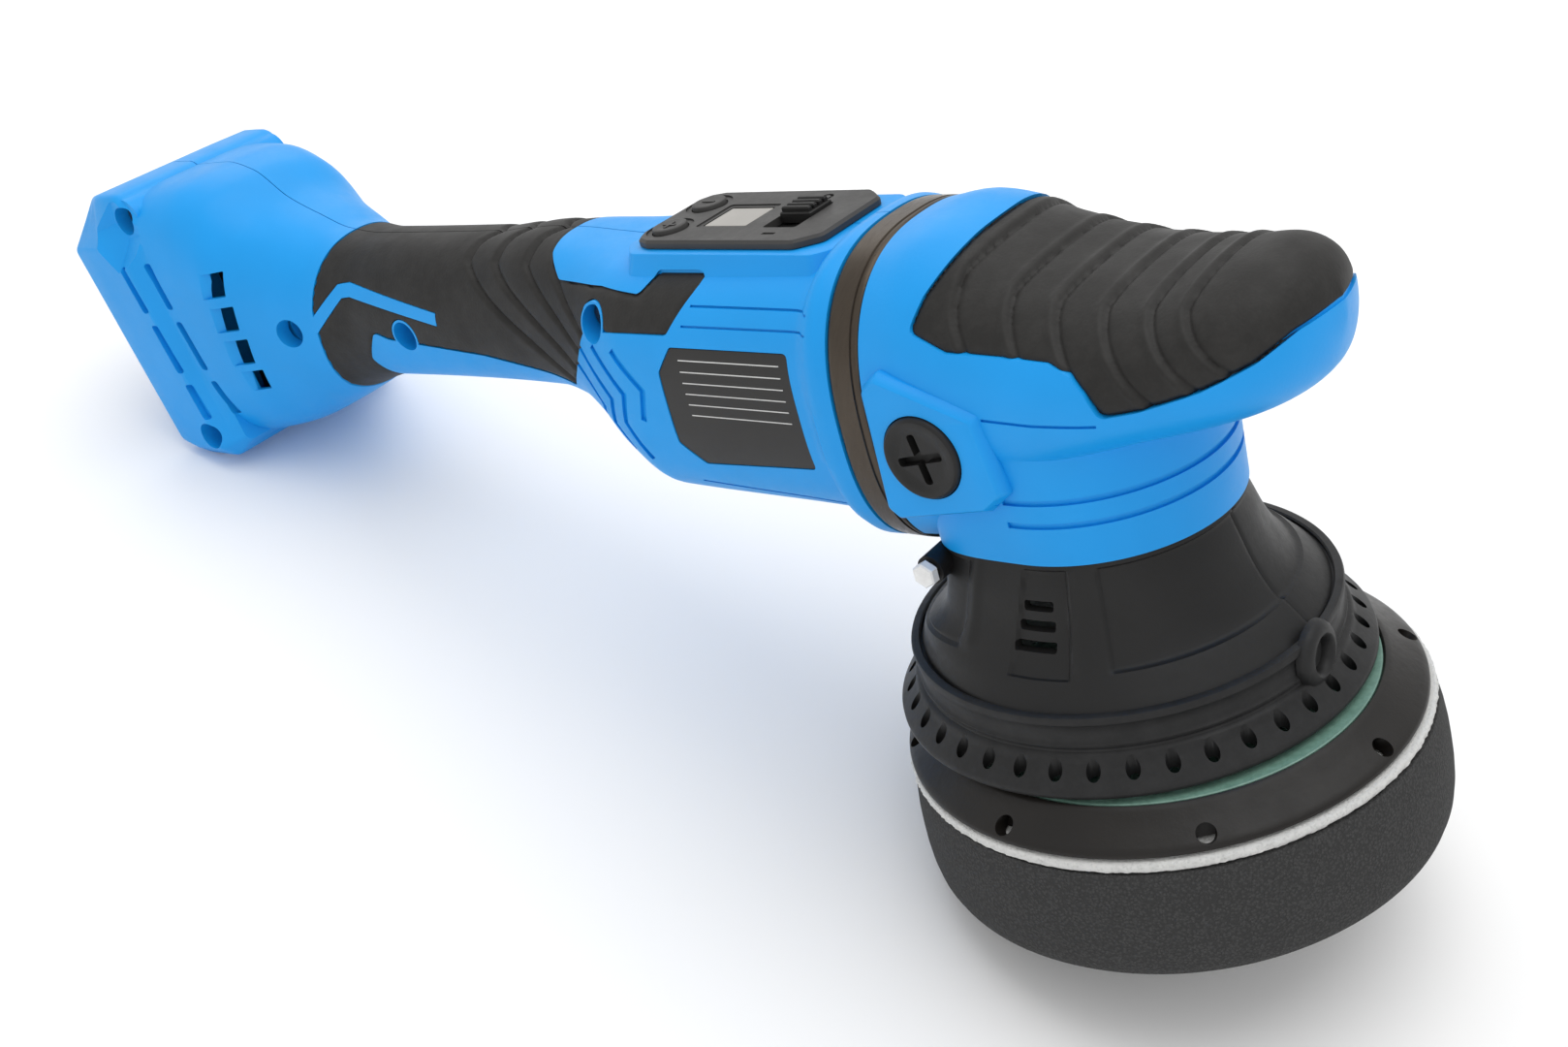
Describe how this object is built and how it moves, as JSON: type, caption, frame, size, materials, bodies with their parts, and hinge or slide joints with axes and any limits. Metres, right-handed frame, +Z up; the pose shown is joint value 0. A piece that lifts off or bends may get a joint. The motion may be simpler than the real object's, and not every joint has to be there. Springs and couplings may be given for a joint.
{
  "type": "dual action polisher",
  "caption": "Cordless dual action polisher with a bare battery foot, grip, geared head with palm grip, dust skirt and an orbiting foam pad on a hook-and-loop backing plate.",
  "frame": {"origin": "centre of the bounding box's bottom face; the tool stands as it is put down, on the edge of its pad and the lowest edge of its battery foot", "axes": "+X from the battery foot to the nose, +Z up, the side with the rating plate faces -Y"},
  "size_m": [0.455, 0.1306, 0.1782],
  "materials": {
    "blue_housing": "fine moulded grain",
    "rubber_black": "matte",
    "screw_zinc": "zinc plated",
    "bolt_white": "satin",
    "label_grey": "satin film",
    "ring_bronze": "metallic satin",
    "black_plastic": "fine moulded grain",
    "window_glass": "clear gloss",
    "circuit_board": "satin",
    "contact_brass": "satin",
    "lead_insulation": "satin",
    "motor_steel": "satin",
    "bearing_steel": "ground",
    "gear_case_metal": "as cast",
    "counterweight_metal": "as cast",
    "foam_dark": "open-cell foam",
    "loop_white": "looped pile",
    "hub_green": "satin laminate"
  },
  "bodies": {
    "body": {"housing_right": "blue_housing", "housing_left": "blue_housing", "grip_overmould_right": "rubber_black", "grip_overmould_left": "rubber_black", "housing_screw_grip_rear": "screw_zinc", "housing_screw_grip_middle": "screw_zinc", "housing_screw_grip_front": "screw_zinc", "housing_screw_foot_upper": "screw_zinc", "housing_screw_foot_lower": "screw_zinc", "rating_plate": "label_grey", "trim_ring": "ring_bronze", "head_shell": "blue_housing", "palm_grip": "rubber_black", "side_handle_plug_right": "black_plastic", "side_handle_plug_left": "black_plastic", "control_panel": "black_plastic", "lcd_window": "window_glass", "control_board": "circuit_board", "motor_controller_board": "circuit_board", "terminal_block": "black_plastic", "terminal_blade_positive": "contact_brass", "terminal_blade_data": "contact_brass", "terminal_blade_negative": "contact_brass", "supply_lead_positive": "lead_insulation", "supply_lead_negative": "lead_insulation", "motor_stator": "motor_steel", "motor_bearing_rear": "bearing_steel", "motor_bearing_front": "bearing_steel", "gear_case": "gear_case_metal", "spindle_bearing_upper": "bearing_steel", "spindle_bearing_lower": "bearing_steel", "bell_housing": "black_plastic", "bell_bolt_right": "bolt_white", "bell_bolt_left": "bolt_white", "dust_skirt": "rubber_black"},
    "motor": {"rotor": "motor_steel", "cooling_fan": "black_plastic", "pinion": "bearing_steel"},
    "spindle": {"spindle_shaft": "bearing_steel", "crown_gear": "bearing_steel", "eccentric": "counterweight_metal", "pad_bearing": "bearing_steel"},
    "pad": {"pad_shaft": "bearing_steel", "hub_disc": "hub_green", "backing_plate": "black_plastic", "loop_layer": "loop_white", "foam_pad": "foam_dark", "pad_bolt": "screw_zinc"},
    "power_switch": {"power_switch_knob": "black_plastic"},
    "plus_button": {"button_plus": "black_plastic"},
    "minus_button": {"button_minus": "black_plastic"}
  },
  "joints": [
    {"name": "spindle_spin", "type": "hinge", "parent": "body", "child": "spindle", "pos_m": [0.1325, 0.00244, 0.10201], "axis": [-0.3117, 0, 0.9502], "continuous": true},
    {"name": "motor_spin", "type": "hinge", "parent": "body", "child": "motor", "pos_m": [0.03732, 0.00244, 0.10341], "axis": [0.9502, 0, 0.3117], "continuous": true},
    {"name": "pad_spin", "type": "hinge", "parent": "spindle", "child": "pad", "pos_m": [0.15482, 0, 0.05671], "axis": [-0.3117, 0, 0.9502], "continuous": true},
    {"name": "power_switch_slide", "type": "slide", "parent": "body", "child": "power_switch", "axis": [0, -1, 0], "range_m": [0, 0.006]},
    {"name": "button_plus_press", "type": "slide", "parent": "body", "child": "plus_button", "axis": [0.3117, 0, -0.9502], "range_m": [0, 0.0008], "stiffness_N_per_m": 600, "springref_m": -0.0004},
    {"name": "button_minus_press", "type": "slide", "parent": "body", "child": "minus_button", "axis": [0.3117, 0, -0.9502], "range_m": [0, 0.0008], "stiffness_N_per_m": 600, "springref_m": -0.0004}
  ],
  "couplings": [
    {"joint": "motor_spin", "follows": "spindle_spin", "ratio": -3}
  ]
}
